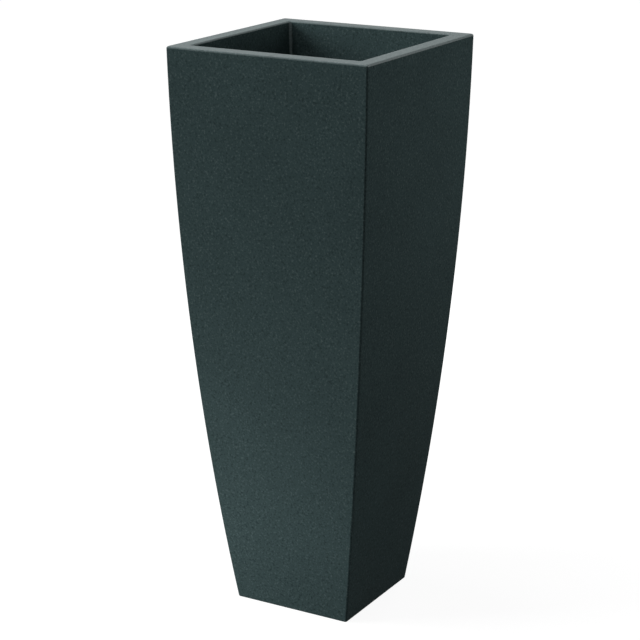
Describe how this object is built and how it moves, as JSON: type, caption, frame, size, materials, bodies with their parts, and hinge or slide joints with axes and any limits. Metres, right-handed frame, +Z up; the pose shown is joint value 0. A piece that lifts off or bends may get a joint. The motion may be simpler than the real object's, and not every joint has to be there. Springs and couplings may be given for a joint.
{
  "type": "square flower pot",
  "caption": "Tall square floor planter that tapers to a narrow foot with gently bowed walls and a flat rim; a planting liner with folding handles lifts out of it.",
  "frame": {"origin": "centre of the foot on the ground", "axes": "+Z up along the pot's axis; the four walls face +X, -X, +Y and -Y; the handles are on the X sides"},
  "size_m": [0.3798, 0.3798, 1],
  "materials": {
    "shell": "matt moulded polyethylene, dark slate grey with a fine grain",
    "liner": "black moulded polypropylene, satin",
    "handle": "dark grey moulded polypropylene, fine texture",
    "grid": "black moulded polypropylene, matt",
    "plug": "black moulded polyethylene, satin",
    "seal": "matt black rubber"
  },
  "bodies": {
    "shell": {"outer_shell": "shell"},
    "base_stopper": {"base_plug": "plug", "base_plug_seal": "seal"},
    "liner": {"planting_liner": "liner"},
    "grid": {"drainage_grid": "grid"},
    "right_handle": {"right_lift_handle": "handle"},
    "left_handle": {"left_lift_handle": "handle"}
  },
  "joints": [
    {"name": "liner_lift", "type": "slide", "parent": "shell", "child": "liner", "axis": [0, 0, 1], "range_m": [0, 0.44]},
    {"name": "right_handle_fold", "type": "hinge", "parent": "liner", "child": "right_handle", "pos_m": [0.14457, 0, 0.936], "axis": [0, 1, 0], "range_deg": [0, 90]},
    {"name": "left_handle_fold", "type": "hinge", "parent": "liner", "child": "left_handle", "pos_m": [-0.14457, 0, 0.936], "axis": [0, -1, 0], "range_deg": [0, 90]},
    {"name": "grid_lift", "type": "slide", "parent": "liner", "child": "grid", "axis": [0, 0, 1], "range_m": [0, 0.26]},
    {"name": "base_plug_pull", "type": "slide", "parent": "shell", "child": "base_stopper", "axis": [0, 0, -1], "range_m": [0, 0.03]}
  ]
}
